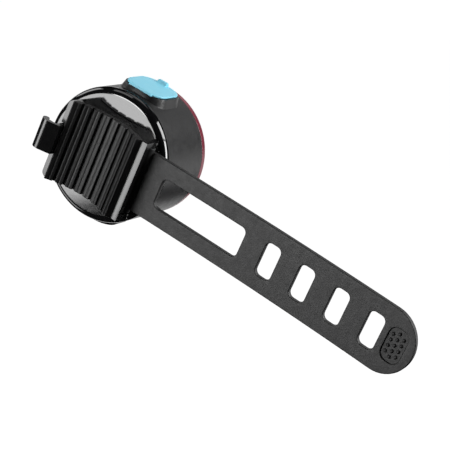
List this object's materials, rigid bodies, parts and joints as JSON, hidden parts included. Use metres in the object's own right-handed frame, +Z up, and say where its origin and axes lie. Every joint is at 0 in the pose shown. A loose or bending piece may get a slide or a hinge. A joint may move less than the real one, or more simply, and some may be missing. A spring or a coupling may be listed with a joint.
{
  "type": "bike rear light",
  "caption": "Round bicycle rear light with a red lens, a ribbed rubber saddle and a slotted rubber strap that hooks round a seatpost; charging port under a blue flap and a push button below.",
  "frame": {"origin": "where the middle of the ribbed saddle touches the seatpost, at mid height", "axes": "+X along the open strap, +Y along the beam from saddle to lens, +Z up the seatpost"},
  "size_m": [0.1367, 0.0429, 0.0469],
  "materials": {
    "satin_black": "satin",
    "gloss_black": "gloss",
    "black_rubber": "matte",
    "red_lens": "gloss, translucent",
    "reflector_white": "gloss",
    "board_green": "satin",
    "led_red": "gloss",
    "chip_black": "matte",
    "steel": "satin",
    "battery_foil": "satin",
    "foam_tape": "matte",
    "lead_red": "satin",
    "blue_silicone": "satin",
    "bracket_black": "fine grain",
    "strap_rubber": "matte"
  },
  "bodies": {
    "light": {"housing": "satin_black", "rear_cover": "gloss_black", "cover_seal": "black_rubber", "lens": "red_lens", "lens_seal": "black_rubber", "reflector": "reflector_white", "main_board": "board_green", "leds": "led_red", "controller_chip": "chip_black", "board_parts": "chip_black", "charge_socket": "steel", "tact_switch": "steel", "battery": "battery_foil", "battery_pad": "foam_tape", "battery_leads": "lead_red", "bracket": "bracket_black", "saddle_pad": "black_rubber", "strap_pin": "steel", "case_screws": "steel", "bracket_screws": "steel"},
    "strap": {"strap": "strap_rubber"},
    "port_cover": {"port_cover": "blue_silicone"},
    "power_button": {"power_button": "black_rubber"},
    "switch_plunger": {"switch_plunger": "chip_black"}
  },
  "joints": [
    {"name": "strap_swing", "type": "hinge", "parent": "light", "child": "strap", "pos_m": [0.0142, 0.0023, 0], "axis": [0, 0, -1], "range_deg": [0, 55]},
    {"name": "port_cover_open", "type": "hinge", "parent": "light", "child": "port_cover", "pos_m": [0, 0.01075, 0.0224], "axis": [1, 0, 0], "range_deg": [0, 110]},
    {"name": "button_press", "type": "slide", "parent": "light", "child": "power_button", "axis": [0, 0, 1], "range_m": [0, 0.0004], "stiffness_N_per_m": 2500},
    {"name": "plunger_press", "type": "slide", "parent": "light", "child": "switch_plunger", "axis": [0, 0, 1], "range_m": [0, 0.0004]}
  ],
  "couplings": [
    {"joint": "plunger_press", "follows": "button_press", "ratio": 1}
  ]
}
